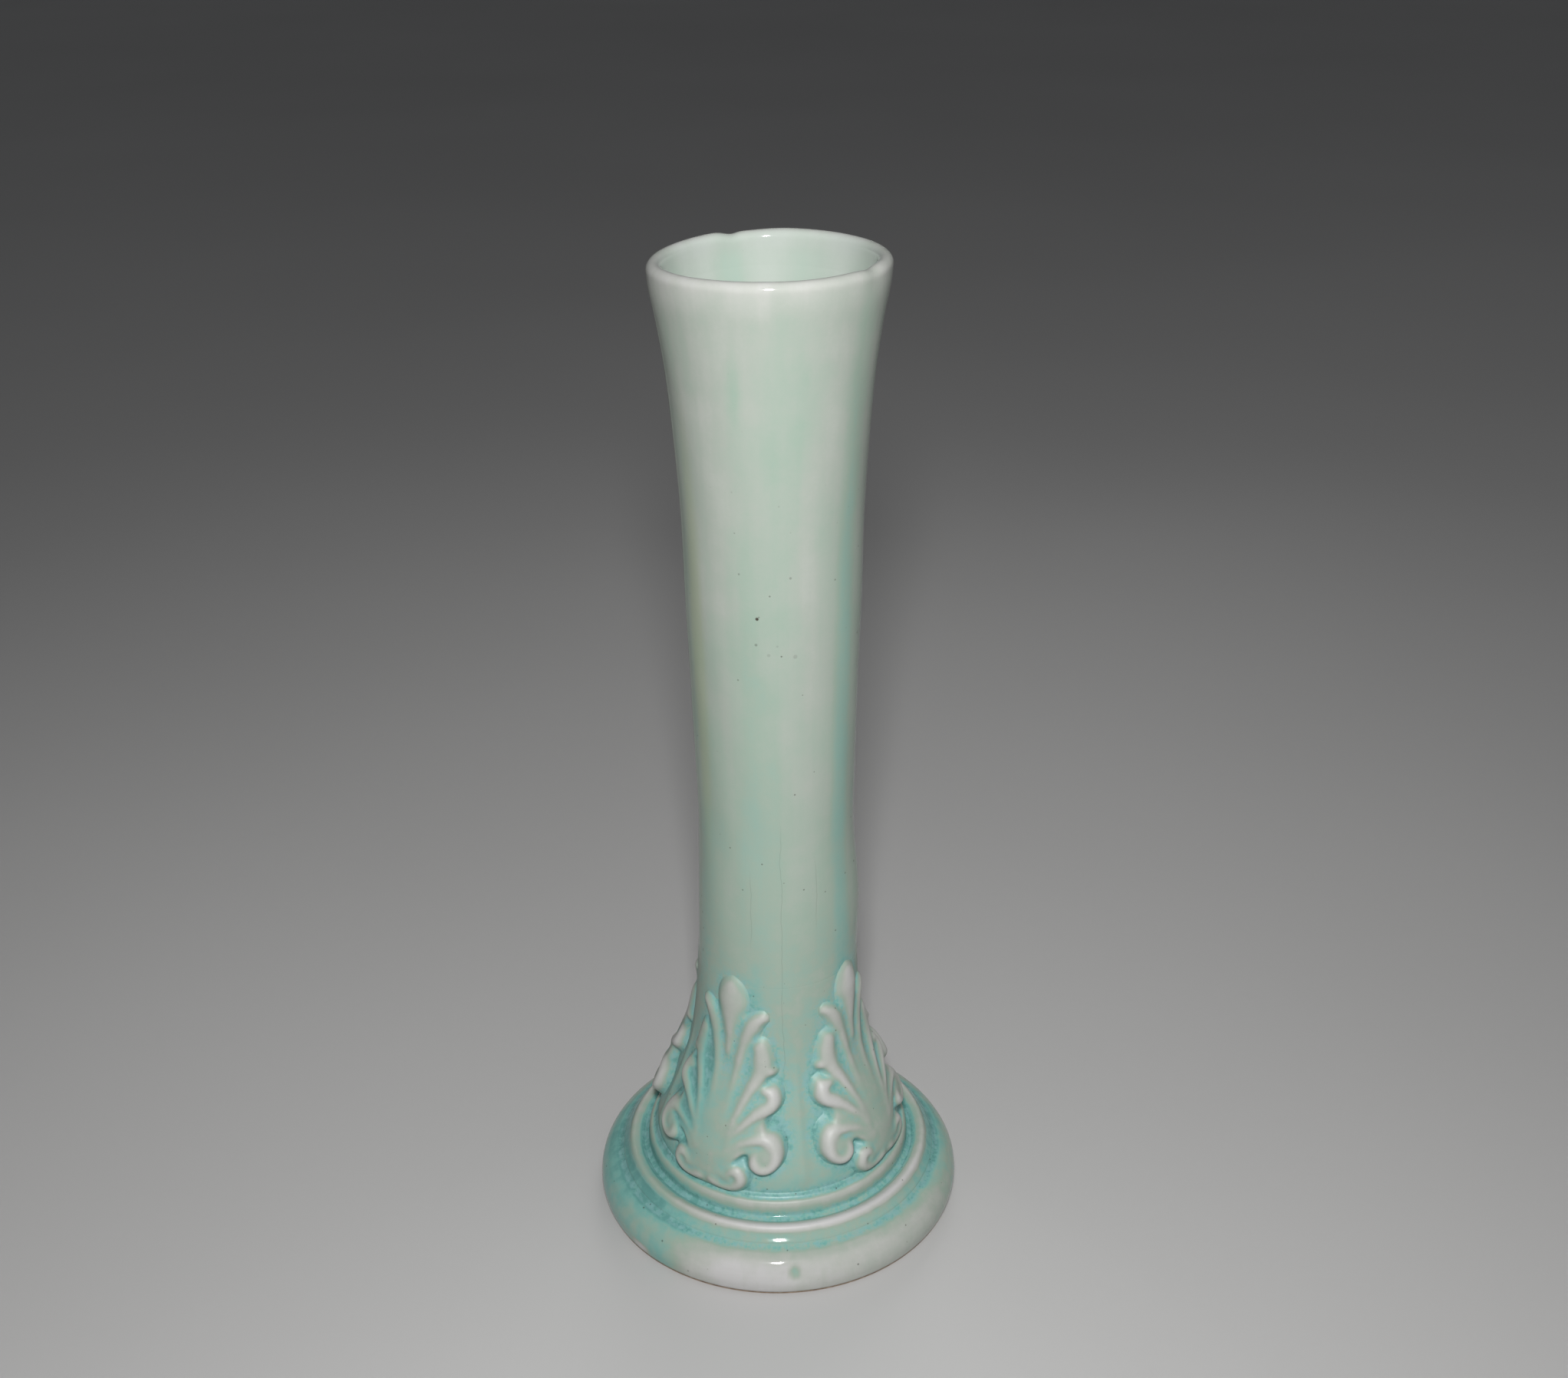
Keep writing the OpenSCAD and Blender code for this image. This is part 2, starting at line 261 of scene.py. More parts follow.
STEM = [(WAIST_R + 0.5, 66), (WAIST_R + 0.15, WAIST_Z - 10), (WAIST_R, WAIST_Z)] + [
    (WAIST_R + out * FLARE, WAIST_Z + up * RISE) for out, up in (
        (0.08, 0.2), (0.18, 0.39), (0.265, 0.58), (0.505, 0.78), (0.75, 0.89), (0.95, 0.955))]
STEM_LINE = smooth(BELL + STEM + [(LIP_R, HEIGHT - LIP_ROUND)], 12)
LIP_CENTRE = (LIP_R - LIP_ROUND, HEIGHT - LIP_ROUND)
LAP = 8.0                # mm that the outer glaze runs down inside the mouth, over the lining
FINE_PITCH = 0.1         # mm between the points of a line on which hollows are worked out


def bore_line():
    """Inside of the stem, from the lip down to where the well begins."""
    bore = STEM_LINE - normals(STEM_LINE) * WALL
    return bore[(bore[:, 1] > 18) & (bore[:, 1] < LIP_CENTRE[1])][::-1]


def lining_line():
    """Down the bore from the lip's inner edge and round the well to the middle of the floor."""
    well_r = BELL_R - WALL
    well = arc((well_r - WELL_ROUND, FLOOR_TOP + WELL_ROUND), WELL_ROUND, 0, -90)
    return np.concatenate([bore_line(), well, [(8, FLOOR_TOP), (AXIS_R, FLOOR_TOP)]])


def with_pool(line):
    """The line with a third column: how far it lies in a hollow, about -1 to 1."""
    fine = respaced(line, lambda z: FINE_PITCH)
    near, wide = (((blurred(fine, (sigma, 0)) - fine) * normals(fine)).sum(1) for sigma in (9, 22))
    pool = np.tanh(2.6 * near + 0.7 * wide)
    by_lip = fine[:, 1] > HEIGHT - 14
    return np.column_stack([fine, np.where(by_lip, np.maximum(pool, -0.12), pool)])


OUTSIDE = with_pool(np.concatenate([
    MOULDINGS, STEM_LINE, arc(LIP_CENTRE, LIP_ROUND, 0, 180, 18)[1:],
    [p for p in bore_line() if p[1] > HEIGHT - LIP_ROUND - LAP]]))


def ground(z):
    """Radius of the glazed bell and stem at height z."""
    return np.interp(z, STEM_LINE[:, 1], STEM_LINE[:, 0])


# ------------------------------------------------------------------ relief of one palmette
# Ribs and lobes of half a leaf: share of the leaf's height, then points (azimuth from the leaf's
# axis, z, half width)
RIBS = [
    (0.98, [(0, 55, 1.8), (0, 53.6, 3.0), (0, 51.8, 3.4), (0, 49.6, 3.0), (0, 47, 2.2),
            (0, 44, 1.5), (0, 40.5, 1.0)]),
    (0.95, [(23.6, 49.3, 1.1), (20, 48.7, 1.5), (16, 47.4, 1.9), (12.8, 45.3, 1.9),
            (10, 42.4, 1.6), (7.8, 38.7, 1.35), (6.1, 35, 1.2), (4.7, 30, 1.1), (3.5, 25, 1.0)]),
    (1.00, [(21.6, 43, 1.9), (22.8, 41.3, 2.2), (23.2, 39.2, 2.4), (20.8, 36.9, 2.1),
            (17, 34.5, 1.75), (13.5, 31.8, 1.5), (10.5, 28.6, 1.3), (7.9, 24.8, 1.1)]),
    (0.97, [(28.8, 38.2, 1.3), (26, 38.5, 1.7)]),
    (1.00, [(25, 34.6, 1.3), (29.4, 34.2, 1.6), (30.2, 32.6, 1.9), (27.6, 31.8, 2.3),
            (23.6, 31, 2.0), (19, 29.7, 1.7), (14.8, 28, 1.45), (11.2, 26.2, 1.25),
            (8.4, 23.8, 1.1)]),
    (0.97, [(6.5, 22, 1.05), (11.5, 23.9, 1.2), (17, 25.2, 1.4), (23, 25.9, 1.6), (28, 25.9, 1.75),
            (31.4, 24.5, 1.8), (31.9, 22.4, 1.8), (29.6, 20.9, 1.8), (26, 20.4, 1.8),
            (22.8, 21.2, 1.7), (22.3, 22.8, 1.4), (24.2, 23.9, 1.1)]),
    (0.86, [(26.6, 24, 2.1), (27, 22.6, 2.2)]),
    (0.97, [(3, 16.3, 1.6), (7.5, 15.6, 1.4), (12.3, 15.7, 1.5), (15.8, 16.8, 1.6),
            (16.4, 18.2, 1.6), (14.4, 19.4, 1.6), (11.9, 19.1, 1.4), (10.8, 18.2, 1.1)]),
    (0.78, [(11.5, 17.4, 1.8), (8.5, 18, 1.8), (6, 19, 1.6)])]
RELIEF_H = 3.2           # mm that the ribs stand out from the bell, where they do so most
HOLLOW_D = 0.65          # mm that the blade between them lies lower
# By height: share of RELIEF_H, half angle of the blade, half angle of the whole piece
STAND_OUT = np.array([(14.5, 0.5), (18, 0.8), (22, 1), (28, 1), (33, 0.78), (38, 0.5), (44, 0.36),
                      (52, 0.4), (57.4, 0.2)]).T
BLADE_HALF = np.array([(14, 16), (16.5, 14), (18, 12), (19.5, 12), (21, 14), (22.5, 18), (24, 27),
                       (26.5, 30), (28.6, 28), (31.5, 28), (34.3, 25), (36.5, 24), (40.5, 20.5),
                       (43, 17), (45, 12.5), (47.5, 12), (50.5, 9), (54, 7), (57, 1)]).T
LEAF_HALF = np.array([(14.3, 22), (17, 24), (19, 35), (22, 38.5), (30, 38.5), (36, 37), (40, 34),
                      (45, 29), (50, 27), (51.5, 20), (53, 14), (56, 11), (57.4, 6)]).T
CELL = 0.12              # mm, pitch of the raster on which the relief is worked out
HALF_SPAN = 20.0         # mm, its reach either side of the leaf's axis
SOFT = 0.48              # mm, softness of the relief under its glaze


def rib_height(across, z, points):
    """Round-topped rib through the points, 1 along its middle and 0 at its edges."""
    height = np.zeros_like(z)
    line = smooth([(math.radians(a) * ground(up), up, half) for a, up, half in points], 4)
    for a, b in zip(line[:-1], line[1:]):
        run = b[:2] - a[:2]
        t = np.clip(((across - a[0]) * run[0] + (z - a[1]) * run[1]) / (run @ run), 0, 1)
        away = np.hypot(across - a[0] - t * run[0], z - a[1] - t * run[1])
        width = a[2] + (b[2] - a[2]) * t
        lobe = 0.82 + 0.18 * step(0.8, 2.0, width)
        height = np.maximum(height, lobe * np.clip(1 - (away / width) ** 2, 0, 1) ** 0.6)
    return height


def leaf_fields():
    """Height and pool of a leaf on a raster of z and mm across."""
    across = np.arange(-HALF_SPAN, HALF_SPAN + CELL, CELL)
    up = np.arange(LEAF_FOOT - 3, LEAF_TIP + 4, CELL)
    z, x = np.meshgrid(up, across, indexing="ij")
    side = np.abs(x)
    stand = RELIEF_H * np.interp(z, *STAND_OUT)
    half = np.radians(np.interp(z, *BLADE_HALF)) * ground(np.maximum(z, LEAF_FOOT))
    inside = np.minimum(half - side, np.minimum(z - LEAF_FOOT + 0.3, LEAF_TIP - z))
    sag = 1 - 0.15 * np.clip(side / half, 0, 1) ** 2
    height = (stand - np.minimum(HOLLOW_D, 0.45 * stand)) * sag * step(-0.1, 0.5, inside)
    for share, points in RIBS:
        height = np.maximum(height, share * stand * rib_height(side, z, points))
    height *= step(LEAF_FOOT - 0.6, LEAF_FOOT + 0.2, z)
    height = blurred(height, (SOFT / CELL, SOFT / CELL))
    near, wide = (blurred(height, (mm / CELL, mm / CELL)) - height for mm in (0.7, 1.7))
    share = height / stand
    low = 1.2 * (0.8 - share) * step(0.4, 0.6, share)
    pool = np.tanh(3.2 * near + 1.2 * wide + low)
    return {"height": height, "pool": np.where(pool > 0, 0.8 * pool, pool), "x": across, "z": up}


def sampled(fields, name, across, z):
    """Bilinear reading of a leaf field at mm across and z."""
    field = fields[name]
    i = np.clip((z - fields["z"][0]) / CELL, 0, field.shape[0] - 1.001)
    j = np.clip((across - fields["x"][0]) / CELL, 0, field.shape[1] - 1.001)
    i0, j0 = i.astype(int), j.astype(int)
    u, v = i - i0, j - j0
    return ((field[i0, j0] * (1 - v) + field[i0, j0 + 1] * v) * (1 - u)
            + (field[i0 + 1, j0] * (1 - v) + field[i0 + 1, j0 + 1] * v) * u)


PALMETTES = {"palmette_front_left": -33, "palmette_front_right": 57,
             "palmette_back_right": 147, "palmette_back_left": -123}
LEAF = leaf_fields()


def leaf_pool_round(azimuth, z):
    """The leaves' pool field anywhere on the bell."""
    first = math.radians(PALMETTES["palmette_front_left"])
    local = (azimuth - first + math.pi / 4) % (math.pi / 2) - math.pi / 4
    reading = sampled(LEAF, "pool", local * ground(np.maximum(z, LEAF_FOOT)), z)
    return reading * step(STEP_TOP, LEAF_FOOT + 0.6, z) * step(LEAF_TIP + 3, LEAF_TIP + 1, z)


# ------------------------------------------------------------------ unevenness of the fired vase
LEAN = 0.45              # mm, how far the stem stands off the foot's centre, towards +X
BULGE, BULGE_AT = 0.65, (85, 69)         # mm out; azimuth and z
CHIP, CHIP_FLAT, CHIP_AT = 0.45, 0.3, -158   # mm down at its deepest, and beside it; azimuth
DENT_IN, DENT_DOWN, DENT_AT = 0.15, 0.32, 57
DIMPLE, DIMPLE_AT = 0.4, (5.0, 4.6)
DROOP = 0.75             # mm that the mouth's left side is lower


def off_by(azimuth, degrees):
    """Signed angle in degrees from a direction."""
    return (np.degrees(azimuth) - degrees + 180) % 360 - 180


def waver(azimuth, z):
    """Slow unevenness of the surface, in mm: the stem's both ways, the foot's only inwards."""
    stem = (0.05 * np.sin(2 * azimuth + 0.031 * z + 1) + 0.03 * np.sin(5 * azimuth - 0.09 * z)
            + 0.018 * np.sin(11 * azimuth + 0.21 * z + 2))
    turn, up = BULGE_AT
    stem += BULGE * np.exp(-(off_by(azimuth, turn) / 35) ** 2 - ((z - up) / 9) ** 2)
    foot = 0.05 * (np.sin(2 * azimuth + 1) - 1) + 0.02 * (np.sin(5 * azimuth) - 1)
    return foot + (stem - foot) * step(8, 18, z)


def fired(azimuth, radius, z):
    """Points in mm, with the lean of the stem and the drooping, dented and chipped mouth."""
    mouth = step(150, HEIGHT, z)
    lip = step(HEIGHT - 6, HEIGHT - 1, z)
    left = np.clip(-np.sin(azimuth), 0, 1)
    drop = 0.06 + DROOP * left ** 1.5 + 0.05 * (1 + np.sin(3 * azimuth + 1))
    past = -off_by(azimuth, CHIP_AT)
    chip = (CHIP * np.exp(-(past / 4.5) ** 2)
            + CHIP_FLAT * step(-2, 4, past) * step(34, 8, past))
    dent = np.exp(-(off_by(azimuth, DENT_AT) / 6.5) ** 2)
    turn, up = DIMPLE_AT
    dimple = np.exp(-(off_by(azimuth, turn) / 2.8) ** 2 - ((z - up) / 1.6) ** 2)
    radius = radius - DENT_IN * dent * lip - DIMPLE * dimple * step(30, 34, radius)
    dx = LEAN * step(15, 60, z) * (1 + 0.15 * mouth)
    return np.stack([radius * np.sin(azimuth) + dx, -radius * np.cos(azimuth),
                     z - mouth * drop - lip * (chip + DENT_DOWN * dent)], -1)


# Patches where the glaze lies thicker (above 0) or thinner, or is warmer: azimuth, z, half
# widths of both, change. Two of the leaves' patches are painted shade and painted light instead.
STEM_PATCHES = [
    (53, 108, 9, 80, 0.2), (57, 58, 10, 9, 0.06), (4, 155, 11, 25, 0.07),
    (-12, 100, 12, 42, 0.08), (16, 165, 8, 12, 0.08), (22, 112, 16, 40, -0.07),
    (-42, 150, 18, 50, -0.05), (-20, 172, 4, 6, 0.12), (-60, 75, 9, 22, 0.10),
    (-16, 53, 7, 9, 0.12), (100, 120, 18, 60, 0.10), (140, 90, 14, 50, -0.08),
    (-100, 130, 16, 45, 0.10), (-150, 110, 15, 60, 0.18), (175, 160, 20, 25, -0.06)]
FOOT_PATCHES = [
    (-80, 4, 51, 9, 0.42), (-80, 2, 51, 6, 0.22), (-14, 2.2, 22, 4.5, -0.12),
    (50, 3, 40, 6, 0.16), (95, 5, 30, 9, 0.42), (5.0, 4.8, 1.6, 1.2, 0.5),
    (-48, 1.6, 4, 1.0, -0.7), (-40, 2.5, 8, 4, 0.25), (-70, 9, 60, 4, 0.15),
    (-58, 13, 24, 4, 0.14), (150, 4, 40, 6, 0.3)]
LINING_PATCHES = [
    (-156, 180, 11, 10, 0.32), (158, 181, 14, 9, 0.24), (175, 172, 8, 9, 0.1),
    (-110, 175, 12, 14, 0.2), (120, 172, 14, 12, 0.2), (30, 165, 14, 15, 0.12)]
WARM_PATCHES = [
    (-59, 120, 9, 45, 0.8)]
LEAF_PATCHES_AND_SHADING = [
    # (-51, 33) deepens the colour on the left half of the front-left leaf: painted shade.
    (-51, 33, 12, 17, 0.36), (-40, 17, 16, 4, -0.1), (57, 53, 9, 6, -0.15),
    # (57, 30) makes the front-right leaf's blade paler: painted light.
    (57, 30, 22, 16, -0.07)]


# Depth of the glaze's colour by height, and how much more of it there is in a hollow
DEPTH_OUTSIDE = np.array([
    (0, 0.2), (6, 0.24), (8, 0.42), (13, 0.5), (15, 0.64), (19, 0.54), (30, 0.49), (45, 0.47),
    (60, 0.45), (90, 0.42), (130, 0.38), (170, 0.32), (186, 0.31), (188, 0.26), (189, 0.2)]).T
DEPTH_INSIDE = np.array([
    (6, 0.55), (30, 0.45), (150, 0.34), (176, 0.2), (187, 0.16), (189, 0.15)]).T
POOLING = 0.42


def patched(azimuth, z, patches):
    total = 0
    for turn, up, half_turn, half_up, change in patches:
        away = (off_by(azimuth, turn) / half_turn) ** 2 + ((z - up) / half_up) ** 2
        total = total + change * np.exp(-away ** 1.6)
    return total


def depth_and_shading_at(azimuth, z, pool, inner=0.0, patches=STEM_PATCHES + FOOT_PATCHES):
    """Depth of the glaze's colour, 0 to 1, on the outside or on the inner side; on two leaves
    its patches paint shade and light.
    """
    outside = np.interp(z, *DEPTH_OUTSIDE) + patched(azimuth, z, patches)
    inside = np.interp(z, *DEPTH_INSIDE) + patched(azimuth, z, LINING_PATCHES)
    return np.clip(outside + (inside - outside) * inner + POOLING * pool, 0, 1)


def gloss(pool, z, low=-0.95, high=-0.45):
    """Shine of the glaze, 0 to 1: duller on crests, and on the bell between the leaves."""
    return step(low, high, pool) * (1 - 0.9 * step(13, 14.5, z) * step(62, 50, z))


# ------------------------------------------------------------------ pieces of the vase
COLUMNS = 300            # round a coat
LEAF_ROWS, LEAF_COLUMNS = 260, 190
UNDER_EVERY = 5          # rows of a coat's surface to one of its underside
SEAMS = (-77, 103)       # azimuths of the mould's seams
SEAM_H = 0.07            # mm that a seam stands out
RIDGE_H = 0.35           # mm that the ridge between two leaves stands out
GAP_AT = 12              # azimuth of the middle of the first gap between leaves
HEM_OUT, HEM_IN = 0.02, 0.2      # a hemmed coat stands out so far, and its edges turn in by so much
LEAF_BACK = 0.3          # mm that a leaf's back lies under the bell's surface
LEAF_TUCK = 0.16         # mm that its edge is tucked in
COVERED = 0.9            # share of a glaze's depth at which the clay under it begins


def coat(name, line, depth, sunk=None, hem=0.0, relief=None, pools=None, inner=None,
         dull=(-0.95, -0.45)):
    """A closed coat of glaze, so deep, on a (radius, z, pool) line.

    sunk is how far each row lies in the clay, hem how wide its turned-in edges are, inner how far
    a row is inside the mouth (0 to 1), relief and pools add to the radius and to the pool, and
    dull is the range of pool over which the gloss comes in.
    """
    facing = normals(line)
    outer = line[:, :2].copy()
    if sunk is not None:
        outer -= facing * sunk[:, None]
    if hem:
        run = lengths(line)
        edge = step(hem, 0, np.minimum(run, run[-1] - run))
        outer += facing * (HEM_OUT - HEM_IN * edge)[:, None]
    every = np.arange(0, len(line), UNDER_EVERY)
    every[-1] = len(line) - 1
    under = (line[:, :2] - facing * depth)[every][::-1]
    turn = np.linspace(0, 2 * math.pi, COLUMNS, endpoint=False)
    azimuth, radius = np.meshgrid(turn, np.concatenate([outer[:, 0], under[:, 0]]))
    _, z = np.meshgrid(turn, np.concatenate([outer[:, 1], under[:, 1]]))
    _, pool = np.meshgrid(turn, np.concatenate([line[:, 2], line[every, 2][::-1]]))
    side = np.zeros(len(line)) if inner is None else inner
    _, side = np.meshgrid(turn, np.concatenate([side, side[every][::-1]]))
    radius = radius + waver(azimuth, z)
    if relief is not None:
        radius = radius + relief(azimuth, z)
    if pools is not None:
        pool = np.clip(pool + pools(azimuth, z), -1, 1)
    return grid_piece(name, fired(azimuth, radius, z),
                      {"pool": pool, "depth_and_shading": depth_and_shading_at(azimuth, z, pool, side),
                       "gloss": gloss(pool, z, *dull), "warm": patched(azimuth, z, WARM_PATCHES),
                       "mint": side}, True)


def valley_ridge(azimuth, z):
    """Low upright ridge in the middle of each gap between leaves, and the mould's two seams."""
    between = (np.degrees(azimuth) - GAP_AT + 45) % 90 - 45
    ridge = RIDGE_H * np.exp(-(between / 3) ** 2) * step(LEAF_FOOT, 18, z) * step(44, 30, z)
    seam = sum(np.exp(-(off_by(azimuth, at) / 1.3) ** 2) for at in SEAMS)
    return ridge + SEAM_H * seam * step(50, 60, z) * step(HEIGHT - 4, HEIGHT - 10, z)


def row_pitch(z):
    """Distance between rows of the outer coat at height z."""
    return np.interp(z, [13, 16, 60, 90, HEIGHT - 12, HEIGHT - 8], [0.32, 0.6, 0.6, 2.0, 2.0, 0.38])


def coarse_pitch(fine, coarse, z):
    """Fine near the foot and the lip, coarse along the stem."""
    return fine if z < 16 or z > HEIGHT - 8 else coarse


def first_below(radius):
    """Row of the outline where it first comes in past a radius."""
    widest = int(np.argmax(OUTSIDE[:, 0]))
    return widest + int(np.argmax(OUTSIDE[widest:, 0] < radius))


def build_coats():
    """The outer coat, the bead, the step and the lining, all from the vase's own outline."""
    bead = (first_below(BEAD_OUT + 0.9), first_below(STEP_OUT + 0.35))
    ring = (bead[1], first_below(BELL_R - 0.05))
    row = np.arange(len(OUTSIDE))
    under = sum(step(a, a + 5, row) * step(b, b - 5, row) for a, b in (bead, ring))
    run = lengths(OUTSIDE)
    lap = step(run[-1] - 5, run[-1], run)
    over_lip = step(run[-1] - LAP - LIP_ROUND * 2.4, run[-1] - LAP, run)
    line = respaced(np.column_stack([OUTSIDE, 0.2 * under + 0.12 * lap, over_lip]), row_pitch)
    skin = coat("celadon_coat", line[:, :3], GLAZE_T, sunk=line[:, 3], relief=valley_ridge,
                pools=leaf_pool_round, inner=line[:, 4])
    crest = OUTSIDE[bead[0]:bead[1]].copy()
    crest[:, 2] -= 0.3 * step(0.1, -0.4, crest[:, 2])
    bead_piece = coat("bead", respaced(crest, lambda z: 0.2), RING_T, hem=0.5, dull=(-0.6, -0.1))
    ring_piece = coat("step", respaced(OUTSIDE[ring[0]:ring[1]], lambda z: 0.2), RING_T, hem=0.5,
                      dull=(-0.4, 1.2))
    inside = respaced(with_pool(lining_line()),
                      lambda z: 0.5 if z > HEIGHT - 14 or z < 14 else 3.0)
    lining = coat("lining", inside, LINING_T, sunk=0.12 * step(6, 1, lengths(inside)),
                  inner=np.ones(len(inside)))
    return skin, bead_piece, ring_piece, lining


def build_clay():
    """The unglazed body: bare at the foot's rim and underneath, glazed over everywhere else."""
    foot = [(AXIS_R, RECESS), (FOOT_R - 6.4, RECESS), (FOOT_R - 5.4, 0.35), (FOOT_R - 5.0, 0.0),
            (FOOT_R - 0.9, 0.0), (FOOT_R - 0.45, 0.18)]
    rows = respaced(OUTSIDE[:, :2], lambda z: coarse_pitch(1.0, 5.0, z))
    inner = respaced(lining_line(), lambda z: coarse_pitch(1.5, 5.0, z))
    inner = inner[inner[:, 1] < HEIGHT - LIP_ROUND - LAP]
    line = np.concatenate([foot, rows - normals(rows) * GLAZE_T * COVERED,
                           inner - normals(inner) * LINING_T * COVERED])
    turn = np.linspace(0, 2 * math.pi, COLUMNS // 2, endpoint=False)
    azimuth, radius = np.meshgrid(turn, line[:, 0])
    _, z = np.meshgrid(turn, line[:, 1])
    radius = radius + waver(azimuth, z) * (radius > 1)
    return grid_piece("clay", fired(azimuth, radius, z), {}, True)


def build_palmette(node, axis):
    """A leaf on the bell, its axis at an azimuth in degrees: the relief and a back under it."""
    z = np.linspace(LEAF_FOOT - 0.4, LEAF_TIP, LEAF_ROWS)
    share = np.linspace(-1, 1, LEAF_COLUMNS)
    z, share = np.meshgrid(z, share, indexing="ij")
    local = share * np.radians(np.interp(z, *LEAF_HALF))
    azimuth = local + math.radians(axis)
    base = ground(np.maximum(z, LEAF_FOOT)) + valley_ridge(azimuth, z) + waver(azimuth, z)
    height = sampled(LEAF, "height", local * ground(z), z)
    pool = sampled(LEAF, "pool", local * ground(z), z)
    front = fired(azimuth, base + height - LEAF_TUCK * step(0.35, 0, height), z)
    back = fired(azimuth, base - LEAF_BACK, z)
    depth_and_shading = depth_and_shading_at(azimuth, z, pool, patches=LEAF_PATCHES_AND_SHADING)
    return grid_piece(node + "_relief", np.concatenate([front, back[::-1]]),
                      {"pool": np.concatenate([pool, pool[::-1]]),
                       "depth_and_shading": np.concatenate([depth_and_shading, depth_and_shading[::-1]]), "gloss": 0.0}, False)


# ------------------------------------------------------------------ materials
class Shader:
    """A node material with a Principled surface, and short ways to add and join nodes."""

    def __init__(self, name):
        self.material = bpy.data.materials.new(name)
        self.material.use_nodes = True
        self.tree = self.material.node_tree
        self.surface = self.tree.nodes["Principled BSDF"]
        self.place = self.add("ShaderNodeTexCoord").outputs["Object"]

    def add(self, kind, sockets=None, **settings):
        node = self.tree.nodes.new(kind)
        for key, value in settings.items():
            setattr(node, key, value)
        for key, value in (sockets or {}).items():
            self.set(node.inputs[key], value)
        return node

    def set(self, socket, value):
        if isinstance(value, bpy.types.NodeSocket):
            self.tree.links.new(value, socket)
        else:
            socket.default_value = value

    def math(self, operation, a, b=0.0, c=0.0):
        return self.add("ShaderNodeMath", {0: a, 1: b, 2: c}, operation=operation).outputs[0]

    def chain(self, operation, first, *rest):
        """The same operation over any number of values, from the left."""
        for value in rest:
            first = self.math(operation, first, value)
        return first

    def ranged(self, value, low, high, to_low=0.0, to_high=1.0):
        return self.add("ShaderNodeMapRange", {
            "Value": value, "From Min": low, "From Max": high, "To Min": to_low, "To Max": to_high},
            interpolation_type="SMOOTHSTEP").outputs["Result"]

    def attribute(self, name):
        return self.add("ShaderNodeAttribute", attribute_name=name).outputs["Fac"]

    def noise(self, scale, detail=2.0, stretch=(1, 1, 1)):
        place = self.add("ShaderNodeMapping", {"Vector": self.place, "Scale": stretch}).outputs[0]
        return self.add("ShaderNodeTexNoise", {
            "Vector": place, "Scale": scale, "Detail": detail}).outputs[0]

    def ramp(self, value, stops):
        node = self.add("ShaderNodeValToRGB", {"Fac": value})
        elements = node.color_ramp.elements
        while len(elements) < len(stops):
            elements.new(0.5)
        for element, (at, colour) in zip(elements, stops):
            element.position, element.color = at, (*colour, 1)
        return node.outputs["Color"]

    def mixed(self, factor, a, b):
        node = self.add("ShaderNodeMix", {0: factor, 6: a, 7: b}, data_type="RGBA")
        return node.outputs[2]


# Colour of the glaze over the clay by its depth, linear
GLAZE_COLOURS = [
    (0.0, (0.53, 0.525, 0.52)), (0.15, (0.455, 0.468, 0.435)), (0.30, (0.375, 0.418, 0.368)),
    (0.45, (0.315, 0.405, 0.335)), (0.62, (0.26, 0.418, 0.36)), (0.80, (0.185, 0.41, 0.37)),
    (1.0, (0.125, 0.315, 0.29))]
POOL_BLUE = (0.235, 0.43, 0.43, 1)
WARM = (0.36, 0.41, 0.27, 1)
MINT = (0.46, 0.545, 0.485, 1)
SPECK = (0.05, 0.04, 0.03, 1)
DULL_ROUGHNESS, SHINY_ROUGHNESS = 0.48, 0.075
PIT_DARK, CRACK_DARK = 0.6, 0.17
CRACKS = [(5, 34, 92), (-17, 62, 82), (31, 66, 84)]      # azimuth, from z, to z
SPOTS = [                                                # azimuth, z, size, how dark
    (-10, 131.3, 0.4, 0.97), (-11, 126.4, 0.35, 0.4), (-3, 124.5, 0.4, 0.17),
    (2.5, 126.2, 0.3, 0.17), (14, 124, 0.5, 0.2), (-21, 139.3, 0.3, 0.4), (11, 138.8, 0.3, 0.35)]


def pinholes(shader, scale, size, share):
    """Small dark pits where the glaze burst, 1 in a pit."""
    cells = shader.add("ShaderNodeTexVoronoi", {"Vector": shader.place, "Scale": scale})
    pit = shader.ranged(cells.outputs["Distance"], size, size * 0.5)
    chosen = shader.math("GREATER_THAN", shader.add(
        "ShaderNodeSeparateColor", {0: cells.outputs["Color"]}).outputs[0], 1 - share)
    return shader.math("MULTIPLY", pit, chosen)


def hairline(shader, turn, low, high):
    """A fine upright crack in the glaze at one azimuth, in degrees, from z low to high in mm."""
    x, y, z = shader.add("ShaderNodeSeparateXYZ", {0: shader.place}).outputs
    azimuth = shader.math("ARCTAN2", x, shader.math("MULTIPLY", y, -1.0))
    wander = shader.math("MULTIPLY_ADD", shader.noise(160, 3, (0.3, 0.3, 1)), 0.09, -0.045)
    away = shader.math("ABSOLUTE", shader.math("SUBTRACT", shader.math(
        "SUBTRACT", azimuth, math.radians(turn)), wander))
    line = shader.ranged(away, 0.007, 0.002)
    top = shader.ranged(z, high * MM, (high - 6) * MM)
    foot = shader.ranged(z, low * MM, (low + 6) * MM)
    return shader.math("MULTIPLY", line, shader.math("MULTIPLY", top, foot))


def spot(shader, turn, up, size):
    """A round spot on the stem at an azimuth in degrees and z in mm, 1 in its middle."""
    radius = ground(up) + 0.1
    turn = math.radians(turn)
    middle = (MM * (radius * math.sin(turn) + LEAN), -MM * radius * math.cos(turn), MM * up)
    away = shader.add("ShaderNodeVectorMath", {0: shader.place, 1: middle}, operation="DISTANCE")
    return shader.ranged(away.outputs["Value"], size * MM, 0.6 * size * MM)


